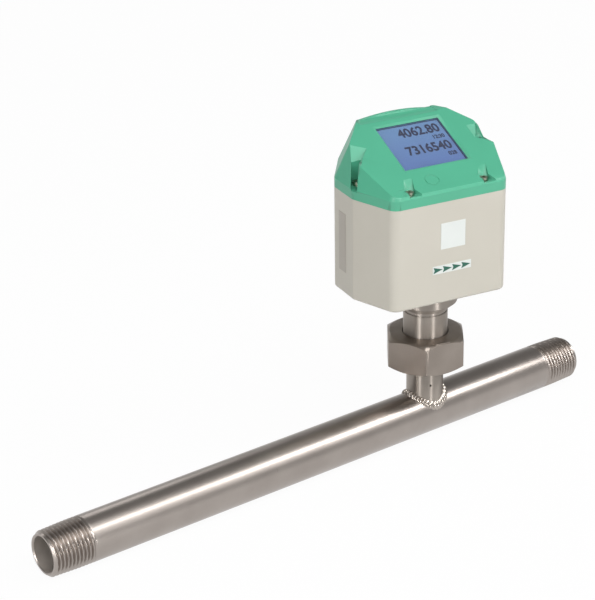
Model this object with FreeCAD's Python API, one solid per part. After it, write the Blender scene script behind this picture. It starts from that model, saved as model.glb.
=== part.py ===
import FreeCAD, Part
import math
import os

# Gas flow meter: a measuring tube with taper threads, a welded sensor socket,
# a union nut and a turned display head. All sizes are in millimetres.
# The origin is the centre of the inlet end face, +X runs with the flow,
# +Z runs up the stem, and the display side looks towards -Y.

# Measuring tube, R 1/2 taper thread on both ends
tube_length = 300.0
tube_od = 21.3
tube_bore = 16.1
thread_gauge_diameter = 20.955
thread_gauge_length = 8.2
thread_taper = 1.0 / 16.0
thread_pitch = 1.814
thread_depth = 1.0
thread_grooves = 11
tube_end_chamfer = 1.0

# Sensor socket welded on the tube
stem_x = 210.0
socket_od = 17.2
socket_bore = 12.6
socket_thread_od = 24.0
socket_thread_bottom = 27.5
socket_seat_z = 36.0
socket_cone_height = 2.2
weld_width = 2.6
telltale_diameter = 1.0
telltale_depth = 1.1
telltale_z = 16.5
telltale_bearing = -22.0

# O-ring and alignment pin in the union
o_ring_section = 1.6
o_ring_radius = 7.9
o_ring_groove_width = 2.0
align_pin_diameter = 1.5
align_pin_radius = 10.2
align_pin_length = 5.0

# Union nut
nut_across_flats = 34.7
nut_bottom = 25.5
nut_top = 41.5
nut_lip = 2.5
nut_turn = -8.2
nut_face_diameter = 33.1
nut_chamfer_angle = 30.0

# Neck that carries the head
neck_od = 20.6
flange_od = 22.6
flange_height = nut_top - nut_lip - socket_seat_z
neck_groove_width = 0.8
neck_groove_depth = 0.35
collar_od = 29.2
collar_cone_bottom = 54.0
collar_cone_top = 57.7
spigot_od = 18.0
spigot_height = 8.6
lock_nut_across_flats = 24.0
lock_nut_height = 5.0
neck_gasket_thickness = 0.5

# Probe and its two sensor elements
probe_od = 10.0
probe_bore = 8.0
probe_bottom = 4.0
probe_tip_height = 2.0
probe_spigot_height = 4.0
probe_lead_height = 6.0
element_spacing = 4.4
heated_element_diameter = 2.2
reference_element_diameter = 1.6
element_bottom = -2.5

# Head plan, seen from above, before the head is turned on its neck
head_turn = -11.0
head_offset = 1.4
head_width = 75.8
head_depth = 62.0
face_width = 57.4
back_width = 48.0
chamfer_run = 22.2
stem_setback = 19.6
head_corner_radius = 5.0

# Housing
housing_bottom = 63.4
seam_z = 112.6
housing_wall = 3.0
housing_floor = 3.0
housing_edge_radius = 1.2
gasket_width = 1.2
gasket_height = 1.2
gasket_inset = 0.9
boss_diameter = 7.0
insert_diameter = 3.2
insert_length = 6.0

# Lid
lid_wall = 2.2
lid_skirt_top = 118.3
lid_lean_start = 117.0
lid_lean = 0.37
lid_lean_shift = 2.0
lid_slope = 20.5
lid_top_v = 28.4
ridge_front_v = 33.4
ridge_half_width = 17.0
ridge_crown = 137.9
ridge_end_z = 136.3
ear_u = 20.0
ear_back = 0.9
lid_ceiling = 142.0
lip_height = 2.4
lip_thickness = 1.2
key_mark_diameter = 7.0
key_mark_depth = 0.25
key_mark_u = -5.8
key_mark_run = 8.0

# Lid screws, M2 by 8: two in front pockets, two in side notches
screw_diameter = 2.0
screw_head_diameter = 3.8
screw_head_height = 2.0
screw_socket_width = 1.5
screw_socket_depth = 1.0
screw_length = 8.0
front_screw_inset = 9.8
front_screw_run = 4.2
side_screw_inset = 5.5
side_screw_run = 28.4
column_diameter = 7.4

# Front pockets: a well round the screw, a mouth to the front edge and a ramp behind
front_pocket_z = 116.9
front_pocket_diameter = 4.9
pocket_mouth_z = 117.6
pocket_mouth_left = 1.9
pocket_mouth_right = 4.9
pocket_ramp_run = 6.4
pocket_ramp_lean = 2.6
pocket_ramp_width = 4.2
pocket_block_left = 5.0
pocket_block_right = 7.2
pocket_block_rear = 5.0

# Side notches: each point is its distance in from the side and its run back from the front face
side_pocket_z = 116.3
side_pocket_radius = 2.45
notch_rear_outer = (7.2, 36.9)
notch_rear_inner = (13.7, 34.0)
notch_waist = (9.2, 28.9)
notch_front = (6.5, 27.1)
slot_end_outer = (4.3, 31.2)
slot_end_inner = (8.5, 30.4)
slot_rear_bearing = 60.0
slot_front_bearing = 54.0
slot_reach = 12.0
ramp_side = 0.26
ramp_front = 0.76
ramp_up = 0.9
wedge_apex = (9.8, 27.1)
wedge_floor_z = 126.0
wedge_reach = 10.0
wedge_facet_rear = 8.6
wedge_facet_width = 4.5
wedge_facet_fall = 0.9

# Display stack, measured along the sloping face
display_u = 2.0
window_width = 32.3
window_length = 30.0
window_start = 17.4
window_recess = 0.7
window_bevel = 1.2
window_thickness = 0.8
window_lap = 1.5
panel_gap = 0.1
panel_thickness = 2.0
panel_frame_depth = 3.8
panel_frame_width = 0.6
board_thickness = 1.6
display_board_length = 37.0
display_post_diameter = 3.2
display_post_gap = 0.05
display_post_inset = 1.6
small_screw_diameter = 1.6
small_screw_head = 3.0
small_screw_head_height = 1.4
small_screw_length = 3.4

# Main board and its supports
main_board_z = 94.0
main_board_width = 50.0
main_board_depth = 30.0
main_board_v = 11.0
standoff_across_flats = 5.0
standoff_inset = 4.0
board_screw_head = 4.4
board_screw_head_height = 1.6
board_screw_length = 6.0
board_screw_diameter = 2.5
terminal_width = 16.0
terminal_depth = 8.0
terminal_height = 9.0
terminal_pitch = 17.9
terminal_holes = 4
terminal_hole_diameter = 2.4
terminal_hole_depth = 2.0
capacitor_diameter = 8.0
capacitor_height = 11.0
chip_size = 10.0
chip_height = 1.4

# Cable sockets on the back, M12
connector_spacing = 23.0
connector_z = 82.0
connector_thread_diameter = 12.0
connector_thread_length = 10.5
connector_flange_diameter = 17.0
connector_flange_thickness = 3.0
connector_tail_diameter = 14.0
connector_tail_length = 12.0
connector_bore = 8.6
connector_bore_depth = 8.0
connector_nut_across_flats = 19.0
connector_nut_height = 3.5
connector_seal_thickness = 0.8
connector_insert_height = 1.6
connector_nut_slot = 10.0
pin_diameter = 1.0
pin_ring_radius = 2.7
pin_length = 6.0

# Labels
label_thickness = 0.15
sticker_size = 12.5
sticker_u = 1.2
sticker_z = 96.2
arrow_strip_width = 19.8
arrow_strip_height = 3.9
arrow_strip_u = 0.8
arrow_strip_z = 80.3
arrow_count = 4
arrow_length = 4.7
arrow_height = 3.0
arrow_notch = 0.6
arrow_ink = 0.06
plate_width = 6.6
plate_setback = 0.8
plate_height = 28.6
plate_z = 88.6

# Clearances
slide_gap = 0.1
thread_gap = 0.05


def vec(x, y, z):
    return FreeCAD.Vector(x, y, z)


def cylinder(diameter, z0, z1, x=0.0, y=0.0):
    return Part.makeCylinder(diameter / 2, z1 - z0, vec(x, y, z0))


def cone(diameter0, diameter1, z0, z1, x=0.0, y=0.0):
    return Part.makeCone(diameter0 / 2, diameter1 / 2, z1 - z0, vec(x, y, z0))


def ring(outer, inner, z0, z1, x=0.0, y=0.0):
    return cylinder(outer, z0, z1, x, y).cut(cylinder(inner, z0 - 1, z1 + 1, x, y))


def block(x0, x1, y0, y1, z0, z1):
    return Part.makeBox(x1 - x0, y1 - y0, z1 - z0, vec(x0, y0, z0))


def prism(points, z0, z1):
    corners = [vec(x, y, z0) for x, y in points]
    face = Part.Face(Part.makePolygon(corners + corners[:1]))
    return face.extrude(vec(0, 0, z1 - z0))


def hexagon(across_flats, z0, z1, turn=0.0, x=0.0, y=0.0):
    radius = across_flats / math.sqrt(3)
    angles = [math.radians(turn + 60 * k) for k in range(6)]
    return prism([(x + radius * math.cos(a), y + radius * math.sin(a)) for a in angles], z0, z1)


def mirrored(points):
    return [(-x, y) for x, y in reversed(points)]


# Head plan


def plan_corners():
    front = -stem_setback
    back = front + head_depth
    half_face = face_width / 2
    half_back = back_width / 2
    half_head = head_width / 2
    return [
        (-half_face, front),
        (half_face, front),
        (half_head, front + chamfer_run),
        (half_head, back - chamfer_run),
        (half_back, back),
        (-half_back, back),
        (-half_head, back - chamfer_run),
        (-half_head, front + chamfer_run),
    ]


def inset_corners(inset):
    corners = plan_corners()
    lines = []
    for (x0, y0), (x1, y1) in zip(corners, corners[1:] + corners[:1]):
        length = math.hypot(x1 - x0, y1 - y0)
        dx, dy = (x1 - x0) / length, (y1 - y0) / length
        lines.append((x0 - dy * inset, y0 + dx * inset, dx, dy))
    result = []
    for (px, py, ax, ay), (qx, qy, bx, by) in zip(lines[-1:] + lines[:-1], lines):
        t = ((qx - px) * by - (qy - py) * bx) / (ax * by - ay * bx)
        result.append((px + ax * t, py + ay * t))
    return result


def outline(inset, z):
    corners = inset_corners(inset)
    radius = max(head_corner_radius - inset, 0.8)
    starts, arcs = [], []
    count = len(corners)
    for i, (x, y) in enumerate(corners):
        here = vec(x, y, z)
        before = vec(*corners[i - 1], z) - here
        after = vec(*corners[(i + 1) % count], z) - here
        half = before.getAngle(after) / 2
        before.normalize()
        after.normalize()
        middle = before + after
        middle.normalize()
        reach = radius / math.tan(half)
        first = here + before * reach
        last = here + after * reach
        centre_point = here + middle * (radius / math.sin(half) - radius)
        arcs.append(Part.Arc(first, centre_point, last).toShape())
        starts.append((first, last))
    edges = []
    for i in range(count):
        edges.append(arcs[i])
        edges.append(Part.LineSegment(starts[i][1], starts[(i + 1) % count][0]).toShape())
    return Part.Wire(edges)


def plan_solid(inset, z0, z1):
    return Part.Face(outline(inset, z0)).extrude(vec(0, 0, z1 - z0))


# Placement of the head on its turned neck and of parts on the sloping face


def on_stem(shape, turn=0.0):
    placed = shape.copy()
    placed.rotate(vec(0, 0, 0), vec(0, 0, 1), turn)
    placed.translate(vec(stem_x, 0, 0))
    return placed


def on_head(shape):
    shifted = shape.copy()
    shifted.translate(vec(head_offset, 0, 0))
    return on_stem(shifted, head_turn)


def on_slope(shape):
    placed = shape.copy()
    placed.rotate(vec(0, 0, 0), vec(1, 0, 0), lid_slope)
    placed.translate(vec(0, -stem_setback, lid_skirt_top))
    return placed


def on_back(shape):
    placed = shape.copy()
    placed.rotate(vec(0, 0, 0), vec(1, 0, 0), -90)
    placed.translate(vec(0, head_depth - stem_setback, connector_z))
    return placed


# Tube, socket and weld


def tube_half_outline():
    """Upper outline of the inlet half: chamfer, taper with its thread grooves, plain tube."""
    tip_radius = (thread_gauge_diameter - thread_gauge_length * thread_taper) / 2
    taper_length = (tube_od / 2 - tip_radius) * 2 / thread_taper
    points = [(0, 0), (0, tip_radius - tube_end_chamfer)]
    for k in range(thread_grooves):
        start = tube_end_chamfer + thread_pitch * k
        for part, depth in ((0.05, 0), (0.45, thread_depth), (0.55, thread_depth), (0.95, 0)):
            x = start + thread_pitch * part
            points.append((x, min(tip_radius + x * thread_taper / 2, tube_od / 2) - depth))
    points.append((max(taper_length, points[-1][0] + thread_pitch), tube_od / 2))
    return points


def tube_envelope():
    near = tube_half_outline()
    far = [(tube_length - x, r) for x, r in reversed(near)]
    corners = [vec(x, 0, r) for x, r in near + far]
    face = Part.Face(Part.makePolygon(corners + corners[:1]))
    return face.revolve(vec(0, 0, 0), vec(1, 0, 0), 360)


def bore_along_tube(diameter):
    return Part.makeCylinder(diameter / 2, tube_length + 20, vec(-10, 0, 0), vec(1, 0, 0))


def run_along_tube(diameter, margin):
    return Part.makeCylinder(diameter / 2, 2 * margin, vec(stem_x - margin, 0, 0), vec(1, 0, 0))


def make_tube():
    tube = tube_envelope().cut(bore_along_tube(tube_bore))
    return tube.cut(cylinder(socket_bore, 0, tube_od, stem_x))


def make_socket():
    body = cylinder(socket_od, 0, socket_thread_bottom)
    cone_bottom = socket_thread_bottom - socket_cone_height
    shoulder = cone(socket_od, socket_thread_od, cone_bottom, socket_thread_bottom)
    head = cylinder(socket_thread_od, socket_thread_bottom, socket_seat_z)
    socket = body.fuse([shoulder, head])
    socket = socket.cut(cylinder(socket_bore, -1, socket_seat_z + 1))
    groove = ring(2 * o_ring_radius + o_ring_groove_width, 2 * o_ring_radius - o_ring_groove_width,
                  socket_seat_z - o_ring_section, socket_seat_z + 1)
    pin_hole = cylinder(align_pin_diameter + slide_gap, socket_seat_z - align_pin_length / 2,
                        socket_seat_z + 1, align_pin_radius)
    outside = vec(0, -socket_od / 2 - 1, telltale_z)
    telltale = Part.makeCylinder(telltale_diameter / 2, telltale_depth + 1, outside, vec(0, 1, 0))
    telltale.rotate(vec(0, 0, 0), vec(0, 0, 1), telltale_bearing)
    socket = socket.cut([groove, pin_hole, telltale])
    return on_stem(socket).cut(run_along_tube(tube_od, socket_od)).removeSplitter()


def make_weld():
    wide = cylinder(socket_od + 2 * weld_width, 0, tube_od, stem_x)
    low_fill = run_along_tube(tube_od + weld_width, socket_od)
    slim = cylinder(socket_od + weld_width, 0, tube_od, stem_x)
    high_fill = run_along_tube(tube_od + 2 * weld_width, socket_od)
    bead = wide.common(low_fill).fuse(slim.common(high_fill))
    bead = bead.cut(run_along_tube(tube_od, socket_od))
    bead = bead.cut(cylinder(socket_od, 0, tube_od * 2, stem_x))
    return bead.cut(block(0, tube_length, -tube_od, tube_od, -tube_od, 0)).removeSplitter()


# Union


def make_nut():
    bottom_radius = nut_face_diameter / 2
    corner_radius = nut_across_flats / math.sqrt(3) + 0.2
    drop = (corner_radius - bottom_radius) * math.tan(math.radians(nut_chamfer_angle))
    points = [(0, nut_bottom), (bottom_radius, nut_bottom), (corner_radius, nut_bottom + drop),
              (corner_radius, nut_top - drop), (bottom_radius, nut_top), (0, nut_top)]
    corners = [vec(x, 0, z) for x, z in points]
    turned = Part.Face(Part.makePolygon(corners + corners[:1])).revolve(vec(0, 0, 0), vec(0, 0, 1), 360)
    nut = hexagon(nut_across_flats, nut_bottom, nut_top).common(turned)
    thread_bore = cylinder(socket_thread_od + 2 * thread_gap, nut_bottom - 1, nut_top - nut_lip)
    lip_bore = cylinder(neck_od + 10 * slide_gap, nut_bottom, nut_top + 1)
    mouth = cone(socket_thread_od + 2.4, socket_thread_od, nut_bottom, nut_bottom + 1.2)
    return on_stem(nut.cut([thread_bore, lip_bore, mouth]), nut_turn)


def make_o_ring():
    centre_z = socket_seat_z - o_ring_section / 2
    return on_stem(Part.makeTorus(o_ring_radius, o_ring_section / 2, vec(0, 0, centre_z)))


def make_align_pin():
    bottom = socket_seat_z - align_pin_length / 2
    return on_stem(cylinder(align_pin_diameter, bottom, bottom + align_pin_length, align_pin_radius))


def make_neck():
    flange_top = socket_seat_z + flange_height
    collar_top = housing_bottom - neck_gasket_thickness
    flange = cylinder(flange_od, socket_seat_z, flange_top)
    stem = cylinder(neck_od, flange_top, collar_cone_bottom)
    flare = cone(neck_od, collar_od, collar_cone_bottom, collar_cone_top)
    collar = cylinder(collar_od, collar_cone_top, collar_top)
    spigot = cylinder(spigot_od, collar_top, housing_bottom + housing_floor + spigot_height)
    neck = flange.fuse([stem, flare, collar, spigot])
    groove_bottom = collar_cone_bottom - 2 * neck_groove_width
    groove_top = groove_bottom + neck_groove_width
    groove = ring(neck_od + 2, neck_od - 2 * neck_groove_depth, groove_bottom, groove_top)
    bore = cylinder(probe_od + 2 * slide_gap, 0, housing_bottom * 2)
    pin_top = socket_seat_z + align_pin_length / 2
    pin_hole = cylinder(align_pin_diameter + slide_gap, 0, pin_top, align_pin_radius)
    return on_stem(neck.cut([groove, bore, pin_hole]).removeSplitter())


def make_neck_gasket():
    top = housing_bottom
    gasket = ring(collar_od - gasket_width, spigot_od + 2 * slide_gap, top - neck_gasket_thickness, top)
    return on_stem(gasket)


def make_lock_nut():
    bottom = housing_bottom + housing_floor
    nut = hexagon(lock_nut_across_flats, bottom, bottom + lock_nut_height)
    return on_stem(nut.cut(cylinder(spigot_od + 2 * thread_gap, 0, bottom + lock_nut_height + 1)), head_turn)


# Probe


def make_probe_tube():
    top = housing_bottom + housing_floor + spigot_height + probe_lead_height
    return on_stem(ring(probe_od, probe_bore, probe_bottom, top))


def make_probe_tip():
    disc = cylinder(probe_od, probe_bottom - probe_tip_height, probe_bottom)
    plug = cylinder(probe_bore - slide_gap, probe_bottom, probe_bottom + probe_spigot_height)
    tip = disc.fuse(plug)
    for side, diameter in ((1, heated_element_diameter), (-1, reference_element_diameter)):
        tip = tip.cut(cylinder(diameter, 0, 2 * housing_bottom, side * element_spacing / 2))
    return on_stem(tip.removeSplitter())


def make_element(side, diameter):
    top = probe_bottom + probe_spigot_height
    shaft = cylinder(diameter, element_bottom + diameter / 2, top, side * element_spacing / 2)
    tip = Part.makeSphere(diameter / 2, vec(side * element_spacing / 2, 0, element_bottom + diameter / 2))
    return on_stem(shaft.fuse(tip).removeSplitter())


# Screws


def lid_screw_places():
    front_u = face_width / 2 - front_screw_inset
    front_v = front_screw_run - stem_setback
    side_u = head_width / 2 - side_screw_inset
    side_v = side_screw_run - stem_setback
    return [(-front_u, front_v, front_pocket_z), (front_u, front_v, front_pocket_z),
            (-side_u, side_v, side_pocket_z), (side_u, side_v, side_pocket_z)]


def cap_screw(u, v, seat):
    shank = cylinder(screw_diameter, seat - screw_length, seat, u, v)
    head = cylinder(screw_head_diameter, seat, seat + screw_head_height, u, v)
    top = seat + screw_head_height
    socket = hexagon(screw_socket_width, top - screw_socket_depth, top + 1, 0, u, v)
    return shank.fuse(head).cut(socket)


def make_lid_screws():
    return on_head(Part.makeCompound([cap_screw(*place) for place in lid_screw_places()]))


def make_inserts():
    solids = []
    for u, v, seat in lid_screw_places():
        hole = screw_diameter + 2 * thread_gap
        solids.append(ring(insert_diameter, hole, seam_z - insert_length, seam_z, u, v))
    return on_head(Part.makeCompound(solids))


# Housing and lid


def connector_us():
    return (-connector_spacing / 2, connector_spacing / 2)


def make_housing():
    body = plan_solid(0, housing_bottom, seam_z)
    low_edges = [e for e in body.Edges if e.BoundBox.ZMax < housing_bottom + 0.01]
    body = body.makeFillet(housing_edge_radius, low_edges)
    cavity = plan_solid(housing_wall, housing_bottom + housing_floor, seam_z + 1)
    bosses = []
    for u, v, seat in lid_screw_places():
        bosses.append(cylinder(boss_diameter, housing_bottom + housing_floor / 2, seam_z, u, v))
    inside = plan_solid(housing_wall / 2, housing_bottom, seam_z)
    body = body.cut(cavity).fuse([boss.common(inside) for boss in bosses])
    groove = plan_solid(gasket_inset, seam_z - gasket_height, seam_z + 1)
    groove = groove.cut(plan_solid(gasket_inset + gasket_width, seam_z - gasket_height - 1, seam_z + 2))
    cuts = [groove, cylinder(spigot_od + 2 * slide_gap, 0, seam_z, -head_offset)]
    for u, v, seat in lid_screw_places():
        cuts.append(cylinder(insert_diameter, seam_z - insert_length - screw_length / 2, seam_z + 1, u, v))
    for u in connector_us():
        cuts.append(on_back(cylinder(connector_tail_diameter + 2 * slide_gap, -2 * housing_wall, 1, u, 0)))
    return on_head(body.cut(cuts).removeSplitter())


def make_lid_gasket():
    bottom = seam_z - gasket_height
    outer = plan_solid(gasket_inset, bottom, seam_z)
    return on_head(outer.cut(plan_solid(gasket_inset + gasket_width, bottom - 1, seam_z + 1)))


def slope_z(v):
    return lid_skirt_top + math.tan(math.radians(lid_slope)) * (v + stem_setback)


def behind_line(points, half_from, half_to):
    """Prism across the head, from one u to another, whose side view is the given outline."""
    corners = [vec(half_from, v, z) for v, z in points]
    return Part.Face(Part.makePolygon(corners + corners[:1])).extrude(vec(half_to - half_from, 0, 0))


def above_deck(half_from, half_to, deck_v, drop):
    """What lies above the slope and above the flat deck that starts at deck_v."""
    reach = head_width
    front = -stem_setback - reach
    back = deck_v + reach
    deck_z = slope_z(deck_v) - drop
    points = [(front, slope_z(front) - drop), (deck_v, deck_z), (back, deck_z), (back, lid_ceiling + reach),
              (front, lid_ceiling + reach)]
    return behind_line(points, half_from, half_to)


def ridge_solid(drop):
    """Low arch that stands on the deck behind the slope."""
    rise = ridge_crown - ridge_end_z
    radius = (ridge_half_width ** 2 + rise ** 2) / (2 * rise)
    barrel = Part.makeCylinder(radius - drop, head_width, vec(0, ridge_front_v + drop, ridge_crown - radius),
                               vec(0, 1, 0))
    half = ridge_half_width - drop
    return barrel.common(block(-half, half, 0, head_width * 2, seam_z, lid_ceiling))


def lid_form(inset, drop, bottom):
    """Lid as a closed solid, its walls moved in by inset and its top lowered by drop."""
    skirt = plan_solid(inset, bottom, lid_lean_start)
    lean_inset = inset + lid_lean * (lid_ceiling - lid_lean_start)
    top = outline(lean_inset, lid_ceiling)
    top.translate(vec(lid_lean_shift, 0, 0))
    upper = Part.makeLoft([outline(inset, lid_lean_start), top], True, True)
    form = skirt.fuse(upper)
    ears = [above_deck(side * ear_u, side * head_width, lid_top_v + ear_back, drop) for side in (-1, 1)]
    middle = above_deck(-ear_u, ear_u, lid_top_v, drop).cut(ridge_solid(drop))
    return form.cut(ears + [middle])


def from_side(place, side=-1):
    """Head coordinates of a point given by its distance in from the side and its run from the front face."""
    inset, run = place
    return side * (head_width / 2 - inset), run - stem_setback


def ray(start, bearing, reach, side=-1):
    """Point at this reach from start, outwards and to the front for the left side."""
    angle = math.radians(bearing)
    return start[0] + side * reach * math.cos(angle), start[1] - reach * math.sin(angle)


def slot_walls(side):
    """Upright slot round the side screw, open to the side of the lid."""
    outer, inner = from_side(slot_end_outer, side), from_side(slot_end_inner, side)
    waist, front = from_side(notch_waist, side), from_side(notch_front, side)
    plan = [outer, inner, waist, front, ray(front, slot_front_bearing, slot_reach, side),
            ray(outer, slot_rear_bearing, slot_reach, side)]
    slot = prism(plan, side_pocket_z, lid_ceiling)
    u, v = from_side((side_screw_inset, side_screw_run), side)
    return slot.fuse(cylinder(2 * side_pocket_radius, side_pocket_z, lid_ceiling, u, v))


def left_notch():
    """Screw access on the left: a ramp that falls from the slope to the end of the slot."""
    start = from_side(notch_rear_outer)
    inner = from_side(notch_rear_inner)
    stretch = slot_reach / math.hypot(inner[0] - start[0], inner[1] - start[1])
    beyond = (start[0] - (inner[0] - start[0]) * stretch, start[1] - (inner[1] - start[1]) * stretch)
    end_outer, end_inner = from_side(slot_end_outer), from_side(slot_end_inner)
    end_beyond = (end_outer[0] - slot_reach, end_outer[1] + slot_reach * (end_outer[1] - end_inner[1])
                  / (end_inner[0] - end_outer[0]))
    corners = []
    for u, v in (beyond, inner, from_side(notch_waist), end_inner, end_beyond):
        rise = (ramp_side * (u - start[0]) + ramp_front * (v - start[1])) / ramp_up
        corners.append(vec(u, v, slope_z(start[1]) + rise))
    ramp = Part.Face(Part.makePolygon(corners + corners[:1])).extrude(vec(0, 0, lid_ceiling))
    return slot_walls(-1).fuse(ramp)


def right_notch():
    """Screw access on the right: a wedge with an upright rear wall, a facet beside it and the slot below."""
    u, v = from_side(wedge_apex, 1)
    angle = math.radians(slot_rear_bearing)
    du, dv = math.cos(angle), math.sin(angle)
    wedge = prism([(u, v), (u + wedge_reach, v), (u + wedge_reach * du, v + wedge_reach * dv)],
                  wedge_floor_z, lid_ceiling)
    facet_v = v + wedge_facet_rear
    facet_z = slope_z(facet_v)
    floor = behind_line([(v - 1, facet_z - wedge_facet_fall * (wedge_facet_rear + 1)), (facet_v, facet_z),
                         (facet_v, lid_ceiling), (v - 1, lid_ceiling)], u - 1, u + wedge_reach)
    far_u = u + wedge_facet_width
    facet = prism([(u, v), (far_u, v + wedge_facet_width * dv / du), (far_u, facet_v), (u, facet_v)],
                  seam_z, lid_ceiling)
    return slot_walls(1).fuse([wedge, facet.common(floor)])


def notch_guard(outer, side):
    """Wall of the lid that closes a side notch towards the inside."""
    rear_outer, rear_inner = from_side(notch_rear_outer), from_side(notch_rear_inner)
    waist, front = from_side(notch_waist), from_side(notch_front)
    bend = (waist[0] + lid_wall * 1.3, front[1] - lid_wall)
    end = ray(bend, slot_front_bearing, slot_reach + lid_wall)
    rear_v = rear_outer[1] + lid_wall
    rear_bend = (rear_inner[0] + lid_wall * 0.7, rear_inner[1] + lid_wall * 0.5)
    plan = [(-head_width, rear_v), (rear_outer[0] + lid_wall, rear_v), rear_bend, bend, end,
            (-head_width, end[1])]
    guard = prism(plan, seam_z, lid_ceiling)
    if side > 0:
        slot_plan = [(-head_width, rear_v), (bend[0], rear_v)] + plan[3:]
        guard = prism(slot_plan, seam_z, lid_ceiling).mirror(vec(0, 0, 0), vec(1, 0, 0))
    return guard.common(outer)


def pocket_block(u, v, outer):
    """Solid corner of the lid round a front pocket."""
    return block(u - pocket_block_left, u + pocket_block_right, -stem_setback, v + pocket_block_rear,
                 seam_z, lid_ceiling).common(outer)


def front_pocket(u, v):
    """Well round a front screw, open to the front edge, with a ramp behind that leans to the right."""
    well = cylinder(front_pocket_diameter, front_pocket_z, lid_ceiling, u, v)
    front = -stem_setback - 1
    left, right = u - pocket_mouth_left, u + pocket_mouth_right
    mouth = prism([(left, v), (left, front), (right, front), (u + front_pocket_diameter / 2, v)],
                  pocket_mouth_z, lid_ceiling)
    rear = v + pocket_ramp_run
    half = front_pocket_diameter / 2
    trough = prism([(u - half, v), (u + half, v), (u + pocket_ramp_lean + pocket_ramp_width / 2, rear),
                    (u + pocket_ramp_lean - pocket_ramp_width / 2, rear)], seam_z, lid_ceiling)
    slant = behind_line([(v, pocket_mouth_z), (rear, slope_z(rear)), (rear, lid_ceiling), (v, lid_ceiling)],
                        u - head_width, u + head_width)
    return well.fuse([mouth, trough.common(slant)])


def window_frame(grow, n0, n1):
    """Rectangle on the sloping face, as large as the display window plus grow on each side."""
    half = window_width / 2 + grow
    end = window_start + window_length + grow
    return on_slope(block(display_u - half, display_u + half, window_start - grow, end, n0, n1))


def display_post_offset():
    """Distance of the posts from the middle: they stand beside the frame of the panel."""
    frame_side = window_width / 2 + window_lap + panel_frame_width
    return frame_side + display_post_gap + display_post_diameter / 2


def display_posts():
    middle = window_start + window_length / 2
    du = display_post_offset()
    ds = display_board_length / 2 - display_post_inset
    return [(display_u + side * du, middle + end * ds) for end in (-1, 1) for side in (-1, 1)]


def board_top():
    return -lid_wall - panel_frame_depth


def window_opening():
    """Opening over the window, its edge bevelled on all sides."""
    wires = []
    for grow, level in ((0, -window_recess), (window_bevel, 0), (2 * window_bevel, window_recess)):
        half = window_width / 2 + grow
        front, back = window_start - grow, window_start + window_length + grow
        plan = [(-half, front), (half, front), (half, back), (-half, back)]
        corners = [vec(display_u + u, s, level) for u, s in plan]
        wires.append(Part.makePolygon(corners + corners[:1]))
    return on_slope(Part.makeLoft(wires, True, True))


def make_lid():
    outer = lid_form(0, 0, seam_z)
    lid = outer.cut(lid_form(lid_wall, lid_wall, seam_z - 1))
    lip_inset = housing_wall + slide_gap
    lip = plan_solid(lip_inset, seam_z - lip_height, seam_z + 2)
    lip = lip.cut(plan_solid(lip_inset + lip_thickness, seam_z - lip_height - 1, seam_z + 3))
    bridge = plan_solid(lid_wall / 2, seam_z, seam_z + 2)
    bridge = bridge.cut(plan_solid(lip_inset + lip_thickness, seam_z - 1, seam_z + 3))
    screws = lid_screw_places()
    for u, v, seat in screws:
        lip = lip.cut(cylinder(boss_diameter + 4 * slide_gap, 0, seam_z, u, v))
    solids = [lip, bridge, notch_guard(outer, -1), notch_guard(outer, 1)]
    solids += [cylinder(column_diameter, seam_z, lid_ceiling, u, v).common(outer) for u, v, seat in screws]
    solids += [pocket_block(u, v, outer) for u, v, seat in screws[:2]]
    for u, s in display_posts():
        solids.append(on_slope(cylinder(display_post_diameter, board_top(), -lid_wall / 2, u, s)))
    cuts = [left_notch(), right_notch(), window_opening(), window_frame(0, -2 * lid_wall, 0),
            window_frame(window_lap, -2 * lid_wall, -window_recess)]
    cuts += [front_pocket(u, v) for u, v, seat in screws[:2]]
    for u, v, seat in screws:
        cuts.append(cylinder(screw_diameter + 4 * slide_gap, seam_z - 1, lid_ceiling, u, v))
    for u, s in display_posts():
        pilot = cylinder(small_screw_diameter, board_top() - 1, board_top() + small_screw_length, u, s)
        cuts.append(on_slope(pilot))
    mark = ring(key_mark_diameter, key_mark_diameter - 0.9, -key_mark_depth, 1, key_mark_u, key_mark_run)
    cuts.append(on_slope(mark))
    return on_head(lid.fuse(solids).cut(cuts).removeSplitter())


# Display


def make_window():
    bottom = -window_recess - window_thickness
    return on_head(window_frame(window_lap - slide_gap, bottom, -window_recess))


def panel_top():
    return -window_recess - window_thickness - panel_gap


def make_panel():
    return on_head(window_frame(window_lap - slide_gap, panel_top() - panel_thickness, panel_top()))


def make_panel_frame():
    outer = window_frame(window_lap + panel_frame_width, board_top(), -lid_wall)
    inner = window_frame(window_lap, board_top() - 1, -lid_wall + 1)
    return on_head(outer.cut(inner))


def make_backlight():
    return on_head(window_frame(window_lap - slide_gap, board_top(), panel_top() - panel_thickness))


def make_display_board():
    middle = window_start + window_length / 2
    half_w, half_l = display_post_offset() + display_post_inset, display_board_length / 2
    top = board_top()
    board = block(display_u - half_w, display_u + half_w, middle - half_l, middle + half_l,
                  top - board_thickness, top)
    for u, s in display_posts():
        board = board.cut(cylinder(small_screw_diameter + 2 * slide_gap, top - 10, top + 1, u, s))
    return on_head(on_slope(board))


def make_display_screws():
    solids = []
    seat = board_top() - board_thickness
    for u, s in display_posts():
        head = cylinder(small_screw_head, seat - small_screw_head_height, seat, u, s)
        shank = cylinder(small_screw_diameter, seat, board_top() + small_screw_length, u, s)
        solids.append(on_slope(head.fuse(shank)))
    return on_head(Part.makeCompound(solids))


# Main board


def standoff_places():
    half_w = main_board_width / 2 - standoff_inset
    half_d = main_board_depth / 2 - standoff_inset
    places = []
    for du in (-half_w, half_w):
        for dv in (-half_d, half_d):
            places.append((du, main_board_v + dv))
    return places


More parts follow.
